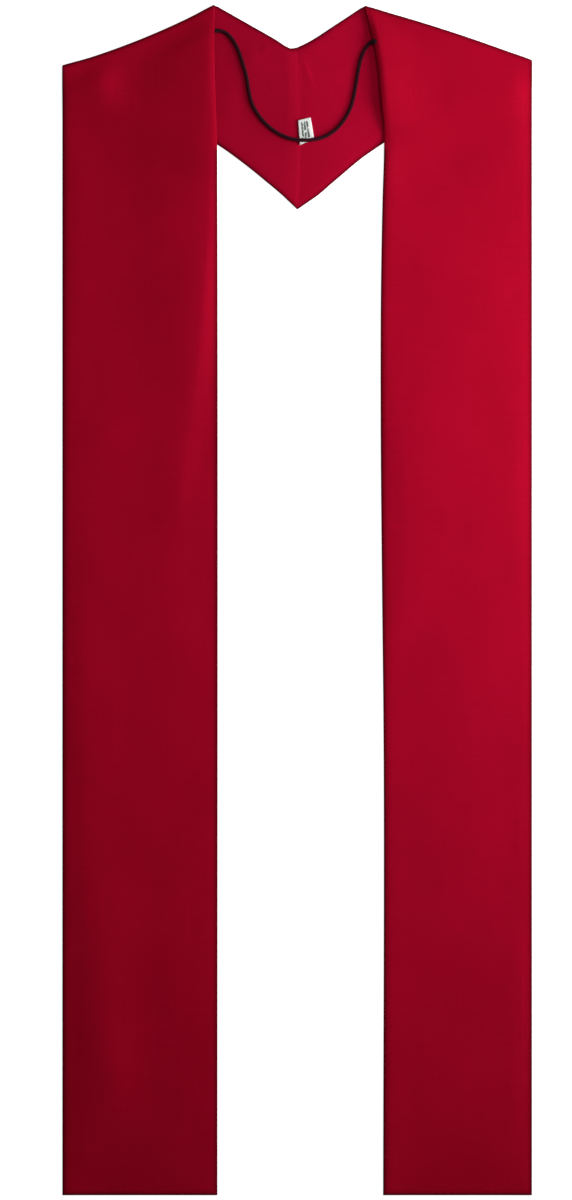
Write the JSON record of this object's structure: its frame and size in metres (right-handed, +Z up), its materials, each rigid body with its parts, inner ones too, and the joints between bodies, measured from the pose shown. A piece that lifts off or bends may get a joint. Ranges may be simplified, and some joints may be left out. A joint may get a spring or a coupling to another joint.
{
  "type": "clerical stole",
  "caption": "Plain red clerical stole laid flat, its front strips folded back at the shoulders over a pointed back-neck band, with a thin black cord across the neck.",
  "frame": {"origin": "middle of the laid-out stole's outline, on the surface that it lies on", "axes": "+X towards the right as the stole is looked down on, +Y from the hems to the neck, +Z up, away from the surface"},
  "size_m": [0.4296, 1.0885, 0.0085],
  "materials": {
    "red_cloth": "plain woven, soft matt with a faint sheen",
    "black_cord": "twisted yarn, matt",
    "white_ribbon": "woven ribbon, faint sheen"
  },
  "bodies": {
    "root": {"left_half": "red_cloth", "right_half": "red_cloth", "neck_cord": "black_cord", "sewn_label": "white_ribbon"}
  },
  "joints": []
}
